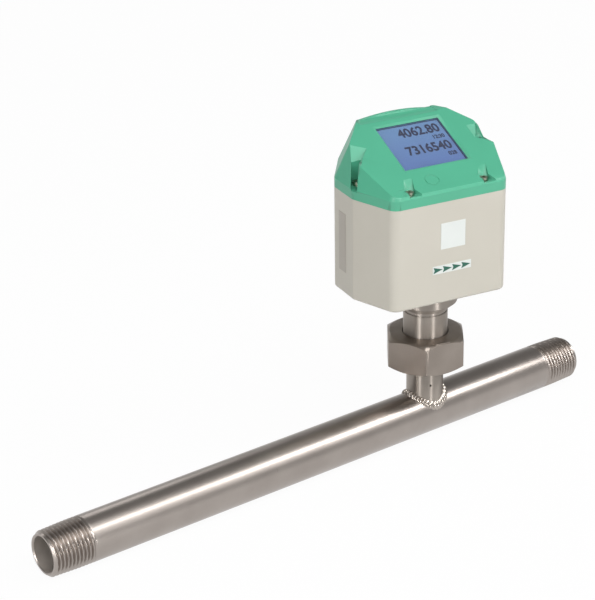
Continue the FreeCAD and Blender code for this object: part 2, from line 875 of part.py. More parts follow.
def make_standoffs():
    bottom = housing_bottom + housing_floor
    solids = []
    for u, v in standoff_places():
        post = hexagon(standoff_across_flats, bottom, main_board_z, 0, u, v)
        tapped = cylinder(board_screw_diameter, main_board_z - board_screw_length, main_board_z + 1, u, v)
        solids.append(post.cut(tapped))
    return on_head(Part.makeCompound(solids))


def make_main_board():
    half = main_board_width / 2
    front = main_board_v - main_board_depth / 2
    board = block(-half, half, front, front + main_board_depth, main_board_z, main_board_z + board_thickness)
    for u, v in standoff_places():
        board = board.cut(cylinder(board_screw_diameter + 2 * slide_gap, 0, seam_z, u, v))
    return on_head(board)


def make_board_screws():
    seat = main_board_z + board_thickness
    solids = []
    for u, v in standoff_places():
        head = cylinder(board_screw_head, seat, seat + board_screw_head_height, u, v)
        shank = cylinder(board_screw_diameter, seat - board_screw_length, seat, u, v)
        solids.append(head.fuse(shank))
    return on_head(Part.makeCompound(solids))


def make_terminals():
    seat = main_board_z + board_thickness
    top = seat + terminal_height
    back = main_board_v + main_board_depth / 2
    solids = []
    for side in (-1, 1):
        u = side * terminal_pitch / 2
        body = block(u - terminal_width / 2, u + terminal_width / 2, back - terminal_depth, back, seat, top)
        for k in range(terminal_holes):
            x = u - terminal_width / 2 + terminal_width * (k + 0.5) / terminal_holes
            y = back - terminal_depth / 2
            body = body.cut(cylinder(terminal_hole_diameter, top - terminal_hole_depth, top + 1, x, y))
        solids.append(body)
    return on_head(Part.makeCompound(solids))


def make_board_parts():
    seat = main_board_z + board_thickness
    half = chip_size / 2
    solids = [block(-half, half, main_board_v - chip_size, main_board_v, seat, seat + chip_height)]
    for side in (-1, 1):
        u = side * (half + capacitor_diameter)
        solids.append(cylinder(capacitor_diameter, seat, seat + capacitor_height, u, main_board_v - half))
    return on_head(Part.makeCompound(solids))


# Cable sockets


def connector_set(build):
    return on_head(Part.makeCompound([on_back(build(u)) for u in connector_us()]))


def connector_body(u):
    seat = connector_seal_thickness
    flange_top = seat + connector_flange_thickness
    tip = flange_top + connector_thread_length
    flange = cylinder(connector_flange_diameter, seat, flange_top, u)
    thread = cylinder(connector_thread_diameter, flange_top, tip, u)
    tail = cylinder(connector_tail_diameter, seat - connector_tail_length, seat, u)
    bore = cylinder(connector_bore, tip - connector_bore_depth, tip + 1, u)
    return flange.fuse([thread, tail]).cut(bore)


def connector_seal(u):
    hole = connector_tail_diameter + 2 * slide_gap
    return ring(connector_flange_diameter - 1, hole, 0, connector_seal_thickness, u)


def connector_nut(u):
    top = -housing_wall
    nut = hexagon(connector_nut_across_flats, top - connector_nut_height, top, 30, u)
    return nut.cut(cylinder(connector_tail_diameter + 2 * thread_gap, top - connector_nut_slot, 1, u))


def connector_insert(u):
    tip = connector_seal_thickness + connector_flange_thickness + connector_thread_length
    floor = tip - connector_bore_depth
    insert = cylinder(connector_bore - slide_gap, floor, floor + connector_insert_height, u)
    for x, y in pin_places(u):
        insert = insert.cut(cylinder(pin_diameter, floor - 1, tip, x, y))
    return insert


def pin_places(u):
    places = [(u, 0.0)]
    for k in range(4):
        angle = math.radians(45 + 90 * k)
        places.append((u + pin_ring_radius * math.cos(angle), pin_ring_radius * math.sin(angle)))
    return places


def make_connector_pins():
    tip = connector_seal_thickness + connector_flange_thickness + connector_thread_length
    floor = tip - connector_bore_depth
    solids = []
    for u in connector_us():
        for x, y in pin_places(u):
            solids.append(on_back(cylinder(pin_diameter, floor, floor + pin_length, x, y)))
    return on_head(Part.makeCompound(solids))


# Labels


def on_face(shape):
    """Put a label drawn in x and y on the front face of the housing."""
    placed = shape.copy()
    placed.rotate(vec(0, 0, 0), vec(1, 0, 0), 90)
    placed.translate(vec(0, -stem_setback, 0))
    return placed


def face_label(u, z, width, height, n0, n1):
    return on_face(block(u - width / 2, u + width / 2, z - height / 2, z + height / 2, n0, n1))


def make_sticker():
    return on_head(face_label(sticker_u, sticker_z, sticker_size, sticker_size, 0, label_thickness))


def make_arrow_strip():
    size = (arrow_strip_width, arrow_strip_height)
    return on_head(face_label(arrow_strip_u, arrow_strip_z, *size, 0, label_thickness))


def make_arrows():
    pitch = (arrow_strip_width - 0.6) / arrow_count
    solids = []
    for k in range(arrow_count):
        start = arrow_strip_u - arrow_strip_width / 2 + 0.3 + pitch * k + (pitch - arrow_length) / 2
        half = arrow_height / 2
        points = [(start, arrow_strip_z - half), (start + arrow_length, arrow_strip_z),
                  (start, arrow_strip_z + half), (start + arrow_notch, arrow_strip_z)]
        solids.append(on_face(prism(points, label_thickness, label_thickness + arrow_ink)))
    return on_head(Part.makeCompound(solids))


def make_plate():
    side = -head_width / 2
    middle = head_depth / 2 - stem_setback + plate_setback
    return on_head(block(side - label_thickness, side, middle - plate_width / 2, middle + plate_width / 2,
                         plate_z - plate_height / 2, plate_z + plate_height / 2))


def build():
    return {
        "measuring_tube": make_tube(),
        "sensor_socket": make_socket(),
        "weld_bead": make_weld(),
        "union_nut": make_nut(),
        "union_o_ring": make_o_ring(),
        "alignment_pin": make_align_pin(),
        "sensor_neck": make_neck(),
        "neck_gasket": make_neck_gasket(),
        "neck_lock_nut": make_lock_nut(),
        "probe_tube": make_probe_tube(),
        "probe_tip": make_probe_tip(),
        "heated_element": make_element(1, heated_element_diameter),
        "reference_element": make_element(-1, reference_element_diameter),
        "housing": make_housing(),
        "lid": make_lid(),
        "lid_gasket": make_lid_gasket(),
        "lid_screws": make_lid_screws(),
        "screw_inserts": make_inserts(),
        "display_window": make_window(),
        "display_panel": make_panel(),
        "panel_frame": make_panel_frame(),
        "display_backlight": make_backlight(),
        "display_board": make_display_board(),
        "display_screws": make_display_screws(),
        "main_board": make_main_board(),
        "board_standoffs": make_standoffs(),
        "board_screws": make_board_screws(),
        "terminal_blocks": make_terminals(),
        "board_components": make_board_parts(),
        "connector_bodies": connector_set(connector_body),
        "connector_seals": connector_set(connector_seal),
        "connector_nuts": connector_set(connector_nut),
        "connector_inserts": connector_set(connector_insert),
        "connector_pins": make_connector_pins(),
        "front_sticker": make_sticker(),
        "arrow_label": make_arrow_strip(),
        "flow_arrows": make_arrows(),
        "rating_plate": make_plate(),
    }


os.makedirs("parts", exist_ok=True)
for name, shape in build().items():
    shape.exportStep("parts/" + name + ".step")
    print(name, len(shape.Solids), shape.isValid(), round(shape.Volume, 1))
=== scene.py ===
import math

import bmesh
import bpy
from mathutils import Matrix, Vector

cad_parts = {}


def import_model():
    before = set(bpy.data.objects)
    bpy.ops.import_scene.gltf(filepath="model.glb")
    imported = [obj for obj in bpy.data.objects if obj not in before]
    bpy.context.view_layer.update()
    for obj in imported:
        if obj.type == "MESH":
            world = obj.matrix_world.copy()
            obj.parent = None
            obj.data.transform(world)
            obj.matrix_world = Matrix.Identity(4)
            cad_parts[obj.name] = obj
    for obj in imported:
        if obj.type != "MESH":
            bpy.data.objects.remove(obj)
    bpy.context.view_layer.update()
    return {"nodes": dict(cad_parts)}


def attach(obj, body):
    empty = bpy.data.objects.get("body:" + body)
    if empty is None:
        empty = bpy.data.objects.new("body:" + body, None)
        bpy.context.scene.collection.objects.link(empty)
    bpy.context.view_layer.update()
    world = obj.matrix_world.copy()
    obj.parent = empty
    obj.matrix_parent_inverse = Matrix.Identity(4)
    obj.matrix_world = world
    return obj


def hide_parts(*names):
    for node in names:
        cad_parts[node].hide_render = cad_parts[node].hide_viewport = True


# The sizes below repeat the solids' own, in metres unless a name says otherwise
MM = 0.001

# Camera, fitted to the tube and the head in the photograph
IMAGE_WIDTH = 595
IMAGE_HEIGHT = 600
SENSOR_MM = 36.0
FOCAL_PX = 2242.3
CAMERA_MM = (-403.7, -711.6, 487.9)
CAMERA_AZIMUTH = -37.18
CAMERA_ELEVATION = 24.65
CAMERA_ROLL = -0.88
CAMERA_REACH = 10.0

# Tube and its R 1/2 thread
TUBE_LENGTH = 300 * MM
TUBE_RADIUS = 10.65 * MM
TUBE_STEPS = 96
BORE_RADIUS = 8.05 * MM
BORE_CHAMFER = 0.4 * MM
BORE_MARGIN = 0.05 * MM
THREAD_TIP_RADIUS = 10.221 * MM
THREAD_TAPER = 1 / 32
THREAD_PITCH = 1.814 * MM
THREAD_DEPTH = 1.16 * MM
THREAD_LENGTH = 20.8 * MM
THREAD_FADE = 2.4 * MM
THREAD_ROWS = 12
THREAD_ROOT_SHARE = 0.08
THREAD_FLANK_SHARE = 0.80
END_CHAMFER = 1.0 * MM
END_CHAMFER_KEPT = 0.4 * END_CHAMFER

# Stem and the weld round its foot
STEM_X = 210 * MM
STUB_RADIUS = 8.6 * MM
WELD_HEIGHT = 1.5 * MM
WELD_LEG = 2.2 * MM
WELD_BULGE = 0.45 * MM
WELD_DEPTH = 0.75 * MM
WELD_ROOT = 1.2 * MM
WELD_SINK = 0.2 * MM
WELD_TOE_SINK = 0.15 * MM
WELD_STEPS = 720
WELD_ROWS = 10

# Ripples of the weld: their spacing, the lag of their middle behind their ends, how unevenly they follow
# each other, how much their strength differs, and how it falls towards the weld's two sides
WELD_RIPPLE = 1.7 * MM
RIPPLE_LAG = 0.45
RIPPLE_WANDER = 0.3
RIPPLE_WANDER_WAVES = 5
RIPPLE_LEAST = 0.55
RIPPLE_SPREAD = 0.9
RIPPLE_LEVEL = 0.6
RIPPLE_SIDE = 0.55
RIPPLE_MIDDLE = 0.45

# Head
HEAD_TURN = -11.0
HEAD_OFFSET = 1.4 * MM
STEM_SETBACK = 19.6 * MM
HEAD_DEPTH = 62 * MM
SKIRT_TOP = 118.3 * MM
SLOPE = 20.5
DISPLAY_SHIFT = 2.0 * MM
WINDOW_WIDTH = 32.3 * MM
WINDOW_LENGTH = 30.0 * MM
WINDOW_START = 17.4 * MM
PANEL_DEPTH = 1.6 * MM

# Print on the display: line by line its name, digits, height and distance of its foot from the upper edge
BORDER_WIDTH = 0.45 * MM
INK_THICKNESS = 0.03 * MM
STROKE_SPREAD = 0.22 * MM
FULL_SPREAD_HEIGHT = 5 * MM
LARGE_DIGITS = 5.6 * MM
SMALL_DIGITS = 2.4 * MM
DIGIT_MARGIN = 2.2 * MM
DIGIT_SQUEEZE = 0.80
DIGIT_SPACING = 1.02
FONT_HEIGHT_SHARE = 0.70
DISPLAY_LINES = (
    ("digits_flow", "4062.80", LARGE_DIGITS, 8.0 * MM),
    ("digits_small_upper", "12:30", SMALL_DIGITS, 12.4 * MM),
    ("digits_total", "7316540", LARGE_DIGITS, 20.2 * MM),
    ("digits_small_lower", "028", SMALL_DIGITS, 24.6 * MM),
)

# Threaded cable sockets on the back of the head
SOCKET_SPACING = 23 * MM
SOCKET_Z = 82 * MM
SOCKET_SEAT = 0.8 * MM
SOCKET_FLANGE = 3.0 * MM
SOCKET_FLANGE_RADIUS = 8.5 * MM
SOCKET_THREAD_RADIUS = 6.0 * MM
SOCKET_THREAD_LENGTH = 10.5 * MM
SOCKET_PITCH = 1.0 * MM
SOCKET_THREAD_DEPTH = 0.55 * MM
SOCKET_THREAD_ROWS = 8
SOCKET_FLANK_SLOPE = 1.2
SOCKET_TAIL_RADIUS = 7.0 * MM
SOCKET_TAIL_LENGTH = 12 * MM
SOCKET_BORE_RADIUS = 4.3 * MM
SOCKET_BORE_DEPTH = 8 * MM
SOCKET_STEPS = 72
SOCKET_SURFACE_MARGIN = 0.01 * MM

# Rounding of the moulded and milled edges: shorter edges and blunter angles in degrees stay as they are
EDGE_ROUND = 0.45 * MM
EDGE_SEGMENTS = 3
EDGE_ANGLE = 18
NUT_EDGE_ROUND = 0.2 * MM
NUT_EDGE_ANGLE = 35
HOUSING_LEAST_EDGE = 6 * MM
LID_LEAST_EDGE = 3 * MM
NUT_LEAST_EDGE = 8 * MM
FLAT_ANGLE = 0.5
FACE_WEIGHT = 90
MERGE_DISTANCE = 0.001 * MM

# Angles in degrees above which an edge is drawn sharp
SHARP_ANGLE = 35
SHARP_ON_ROUNDED = 26
SHARP_ON_THREAD = 28
SHARP_ON_WELD = 60

# Sockets of the node that mixes two colours
MIX_FIRST = 6
MIX_SECOND = 7
MIX_RESULT = 2

# Studio: size and place of the floor, share of plain white in the floor that is seen directly, light of the
# room, and the fall of the backdrop's white from the horizon to the ceiling, by the height that is looked at
FLOOR_HALF_SIZE = 3.0
FLOOR_MIDDLE_X = 0.15
FLOOR_GAP = 0.05 * MM
FLOOR_WHITE = 0.96
ROOM_LEVEL = 0.22
HORIZON_START = 0.16
HORIZON_LEVEL = 0.6
CEILING_START = 0.42
CEILING_LEVEL = 0.25
WHOLE_AIM = (0.18, 0, 0.05)
STEM_AIM = (0.21, 0, 0.06)
WHITE = (1, 1, 1, 1)

# Finish of each solid, by the short names that the finish functions give
NODE_FINISHES = {
    "sensor_socket": "stub",
    "union_nut": "nut",
    "union_o_ring": "rubber",
    "alignment_pin": "small_steel",
    "sensor_neck": "neck",
    "neck_gasket": "rubber",
    "neck_lock_nut": "small_steel",
    "probe_tube": "stub",
    "probe_tip": "small_steel",
    "heated_element": "small_steel",
    "reference_element": "small_steel",
    "measuring_tube": "tube",
    "weld_bead": "weld",
    "housing": "housing",
    "lid": "lid",
    "lid_gasket": "rubber",
    "lid_screws": "lid_screw",
    "screw_inserts": "brass",
    "display_window": "window",
    "display_panel": "panel",
    "panel_frame": "panel_frame",
    "display_backlight": "diffuser",
    "display_board": "board",
    "display_screws": "small_steel",
    "main_board": "board",
    "board_standoffs": "brass",
    "board_screws": "small_steel",
    "terminal_blocks": "black",
    "board_components": "black",
    "connector_bodies": "nickel",
    "connector_seals": "rubber",
    "connector_nuts": "nickel",
    "connector_inserts": "black",
    "connector_pins": "gold",
    "front_sticker": "label",
    "arrow_label": "label",
    "flow_arrows": "arrow_ink",
    "rating_plate": "plate",
}


def linear(hex_colour):
    """Linear colour of an sRGB hex value."""
    values = [int(hex_colour[i:i + 2], 16) / 255 for i in (1, 3, 5)]
    return tuple(v / 12.92 if v <= 0.04045 else ((v + 0.055) / 1.055) ** 2.4 for v in values) + (1.0,)


def per_metre(size_mm):
    """Noise scale whose features are about this large."""
    return 1000 / size_mm


def add(tree, kind, settings=None, **links):
    """One node with its settings, its values by input name or number, and its links."""
    node = tree.nodes.new(kind)
    for name, value in (settings or {}).items():
        if isinstance(name, int) or name in node.inputs:
            node.inputs[name].default_value = value
        else:
            setattr(node, name, value)
    for name, source in links.items():
        key = name.replace("_", " ")
        target = node.inputs[int(name[1:])] if name[0] == "i" and name[1:].isdigit() else node.inputs[key]
        tree.links.new(source, target)
    return node


def new_material(name):
    material = bpy.data.materials.new(name)
    material.use_nodes = True
    tree = material.node_tree
    tree.nodes.clear()
    shader = add(tree, "ShaderNodeBsdfPrincipled")
    add(tree, "ShaderNodeOutputMaterial", Surface=shader.outputs[0])
    return material, tree, shader


def object_position(tree, scale=(1, 1, 1)):
    place = add(tree, "ShaderNodeTexCoord")
    return add(tree, "ShaderNodeMapping", {"Scale": scale}, Vector=place.outputs["Object"])


def brushed_metal(name, colour, dark, roughness, line_mm=0.35, axis="X", bump=0.05, run=0.02, stretch=0.0,
                  metallic=1.0):
    """Turned or brushed metal: fine lines round its axis, slow clouds of tone and a slightly uneven gloss.

    Real lines are a tenth as wide. They are drawn 0.35 mm wide so that they show in the render.
    """
    gloss_spread = 0.07
    line_depth = 0.05 * MM
    cloud_mm = 14
    material, tree, shader = new_material(name)
    scale = {"X": (1.0, run, run), "Y": (run, 1.0, run), "Z": (run, run, 1.0)}[axis]
    lines_at = object_position(tree, scale)
    lines = add(tree, "ShaderNodeTexNoise", {"Scale": per_metre(line_mm), "Detail": 3.0, "Roughness": 0.6},
                Vector=lines_at.outputs[0])
    clouds_at = object_position(tree)
    clouds = add(tree, "ShaderNodeTexNoise", {"Scale": per_metre(cloud_mm), "Detail": 2.0},
                 Vector=clouds_at.outputs[0])
    tint = add(tree, "ShaderNodeMix",
               {"data_type": "RGBA", MIX_FIRST: linear(dark), MIX_SECOND: linear(colour)},
               Factor=clouds.outputs["Fac"])
    rough = add(tree, "ShaderNodeMapRange",
                {"To Min": roughness - gloss_spread, "To Max": roughness + gloss_spread},
                Value=lines.outputs["Fac"])
    height = add(tree, "ShaderNodeBump", {"Strength": bump, "Distance": line_depth},
                 Height=lines.outputs["Fac"])
    shader.inputs["Metallic"].default_value = metallic
    shader.inputs["Anisotropic"].default_value = stretch
    shader.inputs["Anisotropic Rotation"].default_value = 0.25
    tree.links.new(tint.outputs[MIX_RESULT], shader.inputs["Base Color"])
    tree.links.new(rough.outputs[0], shader.inputs["Roughness"])
    tree.links.new(height.outputs[0], shader.inputs["Normal"])
    return material


def moulded_plastic(name, colour, shade, roughness, grain_mm=0.5, grain_depth_mm=0.02, cloud_mm=22,
                    gloss=0.5):
    """Injection-moulded plastic: a fine eroded grain and slow changes of tone.

    The real grain is about 0.1 mm wide. It is drawn 0.5 mm wide so that it shows in the render.
    """
    gloss_spread = 0.05
    grain_strength = 0.35
    material, tree, shader = new_material(name)
    place = object_position(tree)
    grain = add(tree, "ShaderNodeTexNoise", {"Scale": per_metre(grain_mm), "Detail": 4.0, "Roughness": 0.7},
                Vector=place.outputs[0])
    clouds = add(tree, "ShaderNodeTexNoise", {"Scale": per_metre(cloud_mm), "Detail": 2.0},
                 Vector=place.outputs[0])
    tint = add(tree, "ShaderNodeMix",
               {"data_type": "RGBA", MIX_FIRST: linear(shade), MIX_SECOND: linear(colour)},
               Factor=clouds.outputs["Fac"])
    rough = add(tree, "ShaderNodeMapRange",
                {"To Min": roughness - gloss_spread, "To Max": roughness + gloss_spread},
                Value=grain.outputs["Fac"])
    height = add(tree, "ShaderNodeBump", {"Strength": grain_strength, "Distance": grain_depth_mm * MM},
                 Height=grain.outputs["Fac"])
    shader.inputs["Specular IOR Level"].default_value = gloss
    tree.links.new(tint.outputs[MIX_RESULT], shader.inputs["Base Color"])
    tree.links.new(rough.outputs[0], shader.inputs["Roughness"])
    tree.links.new(height.outputs[0], shader.inputs["Normal"])
    return material


def printed_film(name, colour, shade, roughness=0.5, gloss=0.5):
    """Printed polyester label film: smooth, with a faint unevenness of its adhesive."""
    return moulded_plastic(name, colour, shade, roughness, grain_mm=1.6, grain_depth_mm=0.012, cloud_mm=9,
                           gloss=gloss)


def clear_window():
    """Clear acrylic with a coating that takes most of its glare: only a faint gleam over the display."""
    haze_mm = 9
    material, tree, shader = new_material("clear_acrylic_window")
    place = object_position(tree)
    haze = add(tree, "ShaderNodeTexNoise", {"Scale": per_metre(haze_mm), "Detail": 1.0},
               Vector=place.outputs[0])
    rough = add(tree, "ShaderNodeMapRange", {"To Min": 0.03, "To Max": 0.08}, Value=haze.outputs["Fac"])
    shader.inputs["Base Color"].default_value = linear("#DDE8F2")
    shader.inputs["Alpha"].default_value = 0.03
    shader.inputs["IOR"].default_value = 1.49
    shader.inputs["Specular IOR Level"].default_value = 0.12
    tree.links.new(rough.outputs[0], shader.inputs["Roughness"])
    return material


def display_glass():
    """Back-lit liquid crystal panel: an even blue, paler towards its upper edge, with a faint dot raster.

    The real dots are about 0.2 mm wide. They are drawn 0.4 mm wide so that they show in the render.
    """
    dot_mm = 0.4
    material, tree, shader = new_material("lcd_backlit_blue")
    place = add(tree, "ShaderNodeTexCoord")
    centre = slope_matrix() @ Vector((DISPLAY_SHIFT, WINDOW_START + WINDOW_LENGTH / 2, -PANEL_DEPTH))
    flow = add(tree, "ShaderNodeMapping",
               {"vector_type": "TEXTURE", "Location": centre, "Rotation": slope_matrix().to_euler()},
               Vector=place.outputs["Object"])
    parts = add(tree, "ShaderNodeSeparateXYZ", Vector=flow.outputs[0])
    rise = add(tree, "ShaderNodeMapRange", {"From Min": -WINDOW_LENGTH / 2, "From Max": WINDOW_LENGTH / 2},
               Value=parts.outputs["Y"])
    tint = add(tree, "ShaderNodeMix",
               {"data_type": "RGBA", MIX_FIRST: linear("#465E92"), MIX_SECOND: linear("#54749B")},
               Factor=rise.outputs[0])
    raster = add(tree, "ShaderNodeTexNoise", {"Scale": per_metre(dot_mm), "Detail": 1.0},
                 Vector=flow.outputs[0])
    fine = add(tree, "ShaderNodeMapRange", {"To Min": 0.94, "To Max": 1.04}, Value=raster.outputs["Fac"])
    mixed = add(tree, "ShaderNodeVectorMath", {"operation": "SCALE"}, i0=tint.outputs[MIX_RESULT],
                Scale=fine.outputs[0])
    tree.links.new(mixed.outputs[0], shader.inputs["Base Color"])
    tree.links.new(mixed.outputs[0], shader.inputs["Emission Color"])
    shader.inputs["Emission Strength"].default_value = 0.04
    shader.inputs["Specular IOR Level"].default_value = 0.2
    shader.inputs["Roughness"].default_value = 0.35
    return material


def metal_finishes():
    """Finish of each metal part by its short name."""
    made = {}
    # Drawn stainless tube, brushed round: its band of light is clear along the tube and soft at its sides
    made["tube"] = brushed_metal("stainless_tube_brushed", "#ABA39D", "#978F89", 0.31, axis="X", bump=0.06)
    # Inside of the drawn tube, pickled and never polished: dull and even
    made["bore"] = brushed_metal("stainless_bore_pickled", "#A79F98", "#958D86", 0.55, axis="X",
                                 metallic=0.35)
    # Stainless bar turned on a lathe: rings too fine to see draw each light out into a line down the stub
    made["stub"] = brushed_metal("stainless_stub_turned", "#ACA49C", "#958D85", 0.42, axis="Z",
                                 stretch=0.95)
    # Stainless hexagon bar, milled and left as it was: duller, a little darker and less even than the tube
    made["nut"] = brushed_metal("stainless_nut_milled", "#A0978F", "#857C74", 0.34, line_mm=0.6, axis="Z",
                                bump=0.22)
    # Turned neck: the same fine rings and drawn-out lights as on the stub
    made["neck"] = brushed_metal("stainless_neck_turned", "#ACA49C", "#958D85", 0.42, axis="Z",
                                 stretch=0.95)
    # Weld metal that froze from the melt: bright smooth blobs with small uneven spots between them
    made["weld"] = brushed_metal("stainless_weld_bead", "#C8C0B8", "#8F867D", 0.24, line_mm=0.8, axis="Z",
                                 bump=0.2, run=0.8)
    # Small turned steel parts: plain grey with a soft gleam
    made["small_steel"] = brushed_metal("steel_small_parts", "#A9A9A7", "#94938F", 0.34, axis="Z")
    # Rolled steel screws, glossier than the other steel; their paler colour is partly painted light, to
    # gleam in shaded pockets
    made["lid_screw"] = brushed_metal("steel_lid_screw", "#D6CFC4", "#A89888", 0.28, axis="Z")
    # Turned brass inserts and spacers: yellow with a soft gleam
    made["brass"] = brushed_metal("brass_turned", "#C9A45A", "#B48E46", 0.32, axis="Z")
    # Brass sockets plated with nickel: a warm bright grey with crisp lights on the thread
    made["nickel"] = brushed_metal("nickel_plated_brass", "#BDB8AE", "#ADA79C", 0.24, axis="Y")
    # Contacts plated with gold: a deep yellow gleam in the dark insert
    made["gold"] = brushed_metal("gold_plated_contact", "#D9B45C", "#C79E46", 0.25, axis="Y")
    return made


def plastic_finishes():
    """Finish of each plastic and rubber part by its short name."""
    made = {}
    # Lid moulded in a sea-green polycarbonate blend: satin, with clear but soft lights on its edges
    made["lid"] = moulded_plastic("lid_green_plastic", "#4A9F80", "#46997B", 0.38)
    # Housing moulded in the same plastic in cream: even and satin, with a fine eroded grain
    made["housing"] = moulded_plastic("housing_cream_plastic", "#B5B1A7", "#B0ACA1", 0.42)
    # Pressed nitrile rubber: deep black and dull
    made["rubber"] = moulded_plastic("black_rubber", "#1B1B1B", "#141414", 0.62, grain_mm=0.8)
    # Moulded polyamide: black, glossier than the rubber
    made["black"] = moulded_plastic("black_plastic", "#1E1F20", "#17181A", 0.45)
    # Cast diffuser behind the display: milky white
    made["diffuser"] = moulded_plastic("white_diffuser_plastic", "#E8E8E4", "#E0E0DC", 0.5)
    # Moulded frame round the display's panel: a dull dark green that the window's edge shows
    made["panel_frame"] = moulded_plastic("display_frame_dark", "#24463F", "#1E3C36", 0.5)
    # Glass-fibre board under solder lacquer: green and glossy, with a weave drawn coarse enough to show
    made["board"] = moulded_plastic("circuit_board_green", "#1D6A3A", "#175C31", 0.35, grain_mm=2.4)
    return made


def print_finishes():
    """Finish of each label, ink and display part by its short name."""
    made = {}
    # White polyester label: flat and paler than the housing
    made["label"] = printed_film("label_film_white", "#CACECB", "#C5C9C6")
    # Grey polyester label on the side: slightly darker than the housing
    made["plate"] = printed_film("label_film_grey", "#A8A29A", "#9E988F")
    # Screen-printed ink of the arrows: dark green and flat
    made["arrow_ink"] = printed_film("label_ink_dark_green", "#1C5A49", "#195142")
    # Dark segments of the display: navy without any gleam
    made["digit_ink"] = printed_film("lcd_segment_navy", "#0E1238", "#0B0F30", 0.6, gloss=0.05)
    made["window"] = clear_window()
    made["panel"] = display_glass()
    return made


def head_matrix():
    """Places a point drawn about the stem, before the head is turned."""
    turn = Matrix.Rotation(math.radians(HEAD_TURN), 4, "Z")
    return Matrix.Translation((STEM_X, 0, 0)) @ turn @ Matrix.Translation((HEAD_OFFSET, 0, 0))


def slope_matrix():
    """Places a point drawn flat on the lid's sloping face."""
    lift = Matrix.Translation((0, -STEM_SETBACK, SKIRT_TOP))
    return head_matrix() @ lift @ Matrix.Rotation(math.radians(SLOPE), 4, "X")


def form_to_mesh(name, form):
    mesh = bpy.data.meshes.new(name)
    form.to_mesh(mesh)
    form.free()
    return mesh


def add_piece(name, mesh, material, replaces=None, smooth=True, sharp=SHARP_ANGLE):
    """Puts a finished mesh in the scene and lets it ride on the part."""
    piece = bpy.data.objects.new(name, mesh)
    bpy.context.scene.collection.objects.link(piece)
    mesh.materials.clear()
    mesh.materials.append(material)
    if smooth:
        mesh.polygons.foreach_set("use_smooth", [True] * len(mesh.polygons))
        mesh.set_sharp_from_angle(angle=math.radians(sharp))
    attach(piece, "root")
    if replaces:
        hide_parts(replaces)
    return piece


def finish_piece(name, form, material, replaces=None, smooth=True, sharp=SHARP_ANGLE):
    """Makes a piece of a form that is already in its place."""
    bmesh.ops.recalc_face_normals(form, faces=form.faces)
    return add_piece(name, form_to_mesh(name, form), material, replaces, smooth, sharp)


def round_edges(frame, node, name, material, least_length, width=EDGE_ROUND, angle=EDGE_ANGLE):
    """Copy of a solid whose long sharp edges are rounded, as a mould or a tumbling drum leaves them."""
    form = bmesh.new()
    form.from_mesh(frame["nodes"][node].data)
    bmesh.ops.remove_doubles(form, verts=form.verts, dist=MERGE_DISTANCE)
    bmesh.ops.dissolve_limit(form, angle_limit=math.radians(FLAT_ANGLE), verts=form.verts, edges=form.edges)
    chosen = []
    for edge in form.edges:
        if len(edge.link_faces) == 2 and edge.calc_length() > least_length:
            if edge.calc_face_angle(0) > math.radians(angle) and edge.is_convex:
                chosen.append(edge)
    bmesh.ops.bevel(form, geom=chosen, offset=width, offset_type="OFFSET", segments=EDGE_SEGMENTS,
                    profile=0.5, affect="EDGES", clamp_overlap=True, material=-1)
    bmesh.ops.triangulate(form, faces=[face for face in form.faces if len(face.verts) > 4])
    piece = add_piece(name, form_to_mesh(name, form), material, node, sharp=SHARP_ON_ROUNDED)
    level = piece.modifiers.new("flat_faces", "WEIGHTED_NORMAL")
    level.mode = "FACE_AREA"
    level.weight = FACE_WEIGHT
    level.keep_sharp = True


def thread_crest(run):
    """Radius of the taper that the thread's crests lie on, at this distance from the tube's end."""
    return min(TUBE_RADIUS, THREAD_TIP_RADIUS + run * THREAD_TAPER)


def thread_radius(run, angle):
    """Radius of the threaded surface: a ridge that winds round the taper and fades out into the tube."""
    fade = max(0.0, min(1.0, (THREAD_LENGTH - run) / THREAD_FADE))
    phase = (run / THREAD_PITCH - angle / (2 * math.pi)) % 1.0
    ridge = abs(2 * phase - 1)
    ridge = min(1.0, max(0.0, (ridge - THREAD_ROOT_SHARE) / THREAD_FLANK_SHARE))
    return thread_crest(run) - THREAD_DEPTH * fade * (1 - ridge)


def tube_outline():
    """Half section of the tube, with rows close together where the threads are cut."""
    steps = int(THREAD_LENGTH / THREAD_PITCH * THREAD_ROWS)
    runs = [END_CHAMFER + (THREAD_LENGTH - END_CHAMFER) * k / steps for k in range(steps + 1)]
    bore_rim = Vector((0, 0, BORE_RADIUS + BORE_CHAMFER))
    lip = Vector((0, 0, THREAD_TIP_RADIUS - END_CHAMFER))
    half = [Vector((BORE_CHAMFER, 0, BORE_RADIUS)), bore_rim, lip]
    half += [Vector((run, 0, thread_crest(run))) for run in runs]
    far = [Vector((TUBE_LENGTH - p.x, 0, p.z)) for p in reversed(half)]
    return half + [Vector((TUBE_LENGTH / 2, 0, TUBE_RADIUS))] + far


def cut_tube_thread(corner):
    """Moves one corner of the tube's mesh onto the threaded surface."""
    radius = math.hypot(corner.co.y, corner.co.z)
    run = min(corner.co.x, TUBE_LENGTH - corner.co.x)
    if radius < THREAD_TIP_RADIUS - END_CHAMFER_KEPT or run > THREAD_LENGTH:
        return
    angle = math.atan2(corner.co.z, corner.co.y)
    if corner.co.x > TUBE_LENGTH / 2:
        angle = math.pi - angle
    scale = thread_radius(run, angle) / radius
    corner.co.y *= scale
    corner.co.z *= scale


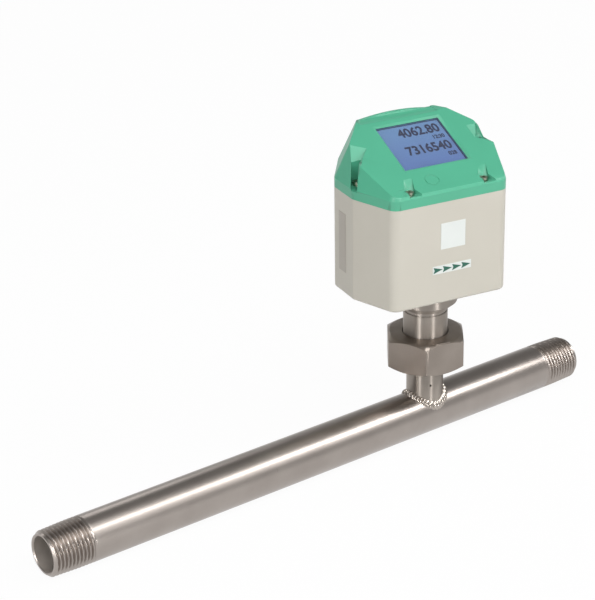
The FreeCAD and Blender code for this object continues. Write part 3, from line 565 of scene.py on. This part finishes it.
def make_threaded_tube(material, bore_material):
    """The measuring tube with a helical thread on both ends and its duller bore."""
    form = bmesh.new()
    ring = [form.verts.new(point) for point in tube_outline()]
    edges = [form.edges.new(pair) for pair in zip(ring, ring[1:] + ring[:1])]
    bmesh.ops.spin(form, geom=ring + edges, cent=(0, 0, 0), axis=(1, 0, 0), angle=2 * math.pi,
                   steps=TUBE_STEPS, use_merge=True)
    bmesh.ops.remove_doubles(form, verts=form.verts, dist=MERGE_DISTANCE)
    for corner in form.verts:
        cut_tube_thread(corner)
    tube = finish_piece("threaded_tube", form, material, "measuring_tube",
                        sharp=SHARP_ON_THREAD)
    tube.data.materials.append(bore_material)
    for face in tube.data.polygons:
        if math.hypot(face.center.y, face.center.z) < BORE_RADIUS + BORE_MARGIN:
            face.material_index = 1


def scatter(number):
    """Fixed share between nought and one that looks random from one number to the next."""
    return (math.sin(number * 12.9898) * 43758.5453) % 1.0


def tube_top(radius, angle):
    """Height of the tube's surface at a point round the stub."""
    return math.sqrt(max(0.0, TUBE_RADIUS ** 2 - (radius * math.sin(angle)) ** 2))


def weld_ripple(angle, turns, share):
    """Rise of the ripples at this angle and share of the way from stub to tube."""
    wander = RIPPLE_WANDER * math.sin(RIPPLE_WANDER_WAVES * angle)
    count = angle * turns / (2 * math.pi) + RIPPLE_LAG * math.sin(math.pi * share) + wander
    strength = RIPPLE_LEAST + RIPPLE_SPREAD * scatter(math.floor(count) % turns)
    return strength * (math.sqrt(abs(math.sin(math.pi * (count % 1.0)))) - RIPPLE_LEVEL)


def weld_section(angle, turns):
    """Section of the weld at this angle: a bulging, rippled face from stub to tube, and a root."""
    inner = STUB_RADIUS - WELD_SINK
    fall = STUB_RADIUS * math.sin(angle) ** 2 / tube_top(STUB_RADIUS, angle)
    outer = STUB_RADIUS + WELD_LEG / math.hypot(1, fall)
    top = Vector((inner, tube_top(STUB_RADIUS, angle) + WELD_HEIGHT))
    toe = Vector((outer, tube_top(outer, angle) - WELD_TOE_SINK))
    out = Vector((top.y - toe.y, toe.x - top.x)).normalized()
    points = []
    for k in range(WELD_ROWS + 1):
        share = k / WELD_ROWS
        arch = math.sin(math.pi * share)
        swell = WELD_BULGE * arch
        swell += WELD_DEPTH * weld_ripple(angle, turns, share) * (RIPPLE_SIDE + RIPPLE_MIDDLE * arch)
        points.append(top.lerp(toe, share) + out * swell)
    root = Vector((STUB_RADIUS - WELD_ROOT, tube_top(STUB_RADIUS, angle) - WELD_ROOT))
    return points + [root]


def join_rings(form, rings):
    """Faces between each ring of corners and the next, the last ring and the first too."""
    for low, high in zip(rings, rings[1:] + rings[:1]):
        for k in range(len(low)):
            n = (k + 1) % len(low)
            form.faces.new((low[k], low[n], high[n], high[k]))


def make_weld(material):
    """Weld between the stub and the tube: a rippled band that follows the line where they meet."""
    form = bmesh.new()
    turns = round(2 * math.pi * (STUB_RADIUS + WELD_LEG / 2) / WELD_RIPPLE)
    rings = []
    for k in range(WELD_STEPS):
        angle = 2 * math.pi * k / WELD_STEPS
        ring = []
        for point in weld_section(angle, turns):
            place = (STEM_X + point.x * math.cos(angle), point.x * math.sin(angle), point.y)
            ring.append(form.verts.new(place))
        rings.append(ring)
    join_rings(form, rings)
    finish_piece("weld_bead_ripples", form, material, "weld_bead", sharp=SHARP_ON_WELD)


def make_text(name, words, height, right, base, material):
    """Printed digits on the display, right-aligned at a place on the sloping face."""
    curve = bpy.data.curves.new(name, "FONT")
    curve.body = words
    curve.size = height / FONT_HEIGHT_SHARE
    curve.align_x = "RIGHT"
    curve.extrude = INK_THICKNESS
    curve.offset = STROKE_SPREAD * min(1.0, height / FULL_SPREAD_HEIGHT)
    curve.space_character = DIGIT_SPACING
    holder = bpy.data.objects.new(name + "_curve", curve)
    bpy.context.scene.collection.objects.link(holder)
    depth = bpy.context.evaluated_depsgraph_get()
    mesh = bpy.data.meshes.new_from_object(holder.evaluated_get(depth))
    bpy.data.objects.remove(holder)
    squeeze = Matrix.Diagonal((DIGIT_SQUEEZE, 1.0, 1.0, 1.0))
    place = Matrix.Translation((DISPLAY_SHIFT + right, base, -PANEL_DEPTH + 2 * INK_THICKNESS))
    mesh.transform(slope_matrix() @ place @ squeeze)
    add_piece(name, mesh, material, smooth=False)


def make_display_digits(material):
    top = WINDOW_START + WINDOW_LENGTH
    right = WINDOW_WIDTH / 2 - DIGIT_MARGIN
    for name, words, height, drop in DISPLAY_LINES:
        make_text(name, words, height, right, top - drop, material)


def make_display_border(material):
    """Dark line round the visible part of the display."""
    form = bmesh.new()
    half = WINDOW_WIDTH / 2
    rings = []
    for inset, level in ((0, 0), (0, 1), (BORDER_WIDTH, 1), (BORDER_WIDTH, 0)):
        z = -PANEL_DEPTH + INK_THICKNESS * (level + 0.5)
        low = WINDOW_START + inset
        high = WINDOW_START + WINDOW_LENGTH - inset
        side = half - inset
        plan = [(-side, low), (side, low), (side, high), (-side, high)]
        rings.append([form.verts.new((DISPLAY_SHIFT + u, s, z)) for u, s in plan])
    join_rings(form, rings)
    form.transform(slope_matrix())
    finish_piece("display_border", form, material, smooth=False)


def socket_outline():
    """Half section of a cable socket from its tail to the floor of its bore, with rows for the thread."""
    flange_top = SOCKET_SEAT + SOCKET_FLANGE
    tip = flange_top + SOCKET_THREAD_LENGTH
    tail = SOCKET_SEAT - SOCKET_TAIL_LENGTH
    rim = SOCKET_FLANGE_RADIUS
    points = [(0, tail), (SOCKET_TAIL_RADIUS, tail), (SOCKET_TAIL_RADIUS, SOCKET_SEAT)]
    points += [(rim - EDGE_ROUND, SOCKET_SEAT), (rim, SOCKET_SEAT + EDGE_ROUND)]
    points += [(rim, flange_top - EDGE_ROUND), (rim - EDGE_ROUND, flange_top)]
    rows = round(SOCKET_THREAD_LENGTH / SOCKET_PITCH * SOCKET_THREAD_ROWS)
    points += [(SOCKET_THREAD_RADIUS, flange_top + SOCKET_THREAD_LENGTH * k / rows) for k in range(rows + 1)]
    floor = tip - SOCKET_BORE_DEPTH
    return points + [(SOCKET_BORE_RADIUS, tip), (SOCKET_BORE_RADIUS, floor), (0, floor)]


def socket_thread_radius(height, angle):
    """Radius of the socket's thread, which fades out at the flange and at the tip."""
    start = SOCKET_SEAT + SOCKET_FLANGE
    left = start + SOCKET_THREAD_LENGTH - height
    fade = max(0.0, min(1.0, min(height - start, left) / SOCKET_PITCH))
    phase = (height / SOCKET_PITCH - angle / (2 * math.pi)) % 1.0
    groove = 1 - min(1.0, SOCKET_FLANK_SLOPE * abs(2 * phase - 1))
    tip_cut = max(0.0, 1 - left / SOCKET_PITCH) * SOCKET_THREAD_DEPTH
    return SOCKET_THREAD_RADIUS - max(SOCKET_THREAD_DEPTH * groove * fade, tip_cut)


def single_socket():
    """One cable socket that stands upright at the origin."""
    form = bmesh.new()
    points = [form.verts.new((radius, 0, height)) for radius, height in socket_outline()]
    edges = [form.edges.new(pair) for pair in zip(points, points[1:])]
    bmesh.ops.spin(form, geom=points + edges, cent=(0, 0, 0), axis=(0, 0, 1), angle=2 * math.pi,
                   steps=SOCKET_STEPS, use_merge=True)
    bmesh.ops.remove_doubles(form, verts=form.verts, dist=MERGE_DISTANCE)
    for corner in form.verts:
        radius = math.hypot(corner.co.x, corner.co.y)
        if abs(radius - SOCKET_THREAD_RADIUS) < SOCKET_SURFACE_MARGIN:
            scale = socket_thread_radius(corner.co.z, math.atan2(corner.co.y, corner.co.x)) / radius
            corner.co.x *= scale
            corner.co.y *= scale
    return form


def make_cable_sockets(material):
    """The two threaded cable sockets on the back of the head."""
    whole = bmesh.new()
    back = HEAD_DEPTH - STEM_SETBACK
    for side in (-1, 1):
        form = single_socket()
        place = Matrix.Translation((side * SOCKET_SPACING / 2, back, SOCKET_Z))
        form.transform(head_matrix() @ place @ Matrix.Rotation(math.radians(-90), 4, "X"))
        single = form_to_mesh("single_socket", form)
        whole.from_mesh(single)
        bpy.data.meshes.remove(single)
    finish_piece("cable_sockets_threaded", whole, material, "connector_bodies",
                 sharp=SHARP_ON_THREAD)


def make_camera():
    azimuth = math.radians(CAMERA_AZIMUTH)
    elevation = math.radians(CAMERA_ELEVATION)
    roll = math.radians(CAMERA_ROLL)
    back = Vector((math.sin(azimuth) * math.cos(elevation), -math.cos(azimuth) * math.cos(elevation),
                   math.sin(elevation)))
    right = Vector((math.cos(azimuth), math.sin(azimuth), 0))
    up = back.cross(right)
    turned_right = right * math.cos(roll) + up * math.sin(roll)
    turned_up = up * math.cos(roll) - right * math.sin(roll)
    lens = bpy.data.cameras.new("camera")
    lens.sensor_width = SENSOR_MM
    lens.sensor_fit = "AUTO"
    lens.lens = FOCAL_PX * SENSOR_MM / max(IMAGE_WIDTH, IMAGE_HEIGHT)
    lens.clip_end = CAMERA_REACH
    camera = bpy.data.objects.new("camera", lens)
    columns = Matrix((turned_right, turned_up, back)).transposed().to_4x4()
    camera.matrix_world = Matrix.Translation(Vector(CAMERA_MM) * MM) @ columns
    bpy.context.scene.collection.objects.link(camera)
    bpy.context.scene.camera = camera


def seen_directly(tree):
    """One for a ray of the camera, of a mirror-like surface or through glass, else nought."""
    seen = add(tree, "ShaderNodeLightPath")
    mirror = add(tree, "ShaderNodeMath", {"operation": "MAXIMUM"}, i0=seen.outputs["Is Glossy Ray"],
                 i1=seen.outputs["Is Transmission Ray"])
    either = add(tree, "ShaderNodeMath", {"operation": "MAXIMUM"}, i0=seen.outputs["Is Camera Ray"],
                 i1=mirror.outputs[0])
    return either.outputs[0]


def floor_paper():
    """Pale studio paper. The camera and mirror-like pieces see it nearly white, with the soft shadow."""
    fibre_mm = 3
    material, tree, shader = new_material("studio_paper")
    place = object_position(tree)
    fibre = add(tree, "ShaderNodeTexNoise", {"Scale": per_metre(fibre_mm), "Detail": 2.0},
                Vector=place.outputs[0])
    tint = add(tree, "ShaderNodeMix",
               {"data_type": "RGBA", MIX_FIRST: linear("#D2D2D2"), MIX_SECOND: linear("#D8D8D8")},
               Factor=fibre.outputs["Fac"])
    tree.links.new(tint.outputs[MIX_RESULT], shader.inputs["Base Color"])
    shader.inputs["Roughness"].default_value = 0.95
    shader.inputs["Specular IOR Level"].default_value = 0.1
    share = add(tree, "ShaderNodeMath", {"operation": "MULTIPLY", 1: FLOOR_WHITE}, i0=seen_directly(tree))
    white = add(tree, "ShaderNodeEmission", {"Color": WHITE, "Strength": 1.0})
    mixed = add(tree, "ShaderNodeMixShader", i0=share.outputs[0], i1=shader.outputs[0], i2=white.outputs[0])
    output = next(node for node in tree.nodes if node.bl_idname == "ShaderNodeOutputMaterial")
    tree.links.new(mixed.outputs[0], output.inputs["Surface"])
    return material


def make_floor():
    form = bmesh.new()
    bmesh.ops.create_grid(form, x_segments=2, y_segments=2, size=FLOOR_HALF_SIZE)
    bmesh.ops.translate(form, verts=form.verts, vec=(FLOOR_MIDDLE_X, 0, -TUBE_RADIUS - FLOOR_GAP))
    mesh = form_to_mesh("floor", form)
    floor = bpy.data.objects.new("floor", mesh)
    mesh.materials.append(floor_paper())
    bpy.context.scene.collection.objects.link(floor)


def make_lamp(name, place, aim, width, height, power):
    light = bpy.data.lights.new(name, "AREA")
    light.shape = "RECTANGLE"
    light.size = width
    light.size_y = height
    light.energy = power
    lamp = bpy.data.objects.new(name, light)
    direction = Vector(aim) - Vector(place)
    lamp.location = place
    lamp.rotation_euler = direction.to_track_quat("-Z", "Y").to_euler()
    bpy.context.scene.collection.objects.link(lamp)


def make_lamps():
    # Main light, from the left above the camera
    make_lamp("key_softbox", (-0.30, -0.88, 1.25), WHOLE_AIM, width=1.3, height=0.6, power=10.4)
    # Two boxes in a row beside the tube, the brighter one near its outlet: they make its bright band
    make_lamp("band_softbox", (0.75, -0.77, 1.25), (0.75, 0, 0), width=0.8, height=0.30, power=4.6)
    make_lamp("outlet_softbox", (1.55, -0.80, 1.25), (1.55, 0, 0), width=0.8, height=0.36, power=12.0)
    # Faint light from the right on the front of the housing
    make_lamp("right_softbox", (0.90, -1.10, 0.90), WHOLE_AIM, width=0.8, height=0.5, power=1.6)
    # Small light on the inlet's end face and thread
    make_lamp("inlet_fill", (-0.40, -0.16, 0.16), (0, 0, 0), width=0.2, height=0.15, power=0.30)
    # Light from above on the lid
    make_lamp("top_softbox", (0.10, -0.35, 1.35), WHOLE_AIM, width=1.0, height=0.5, power=5.0)
    # Narrow strips: each makes one bright line down the stem
    make_lamp("right_strip", (0.22, -1.33, 0.30), STEM_AIM, width=0.04, height=0.56, power=4.4)
    make_lamp("left_strip", (-0.98, -0.46, 0.42), STEM_AIM, width=0.04, height=0.8, power=4.6)
    # Light on the back of the head
    make_lamp("back_fill", (0.30, 1.30, 0.90), WHOLE_AIM, width=1.2, height=0.6, power=3.5)


def make_world():
    """Dim room for plain surfaces. Seen directly it is pale at the horizon and darker at the ceiling."""
    world = bpy.data.worlds.new("studio_world")
    world.use_nodes = True
    tree = world.node_tree
    tree.nodes.clear()
    look = add(tree, "ShaderNodeTexCoord")
    parts = add(tree, "ShaderNodeSeparateXYZ", Vector=look.outputs["Generated"])
    fall = add(tree, "ShaderNodeMapRange", {"From Min": HORIZON_START, "From Max": CEILING_START,
                                            "To Min": HORIZON_LEVEL, "To Max": CEILING_LEVEL},
               Value=parts.outputs["Z"])
    room = add(tree, "ShaderNodeBackground", {"Color": WHITE, "Strength": ROOM_LEVEL})
    backdrop = add(tree, "ShaderNodeBackground", {"Color": WHITE}, Strength=fall.outputs[0])
    mixed = add(tree, "ShaderNodeMixShader", i0=seen_directly(tree), i1=room.outputs[0],
                i2=backdrop.outputs[0])
    add(tree, "ShaderNodeOutputWorld", Surface=mixed.outputs[0])
    bpy.context.scene.world = world


def dress(frame, made):
    """Gives each carried-over solid its finish."""
    for node, finish in NODE_FINISHES.items():
        mesh = frame["nodes"][node].data
        mesh.materials.clear()
        mesh.materials.append(made[finish])


def main():
    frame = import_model()
    made = metal_finishes() | plastic_finishes() | print_finishes()
    dress(frame, made)
    make_threaded_tube(made["tube"], made["bore"])
    make_weld(made["weld"])
    make_display_digits(made["digit_ink"])
    make_display_border(made["digit_ink"])
    make_cable_sockets(made["nickel"])
    round_edges(frame, "housing", "housing_rounded", made["housing"], HOUSING_LEAST_EDGE)
    round_edges(frame, "lid", "lid_rounded", made["lid"], LID_LEAST_EDGE)
    round_edges(frame, "union_nut", "union_nut_rounded", made["nut"], NUT_LEAST_EDGE,
                NUT_EDGE_ROUND, NUT_EDGE_ANGLE)
    make_camera()
    make_floor()
    make_lamps()
    make_world()
    bpy.context.scene.view_settings.view_transform = "Standard"


main()
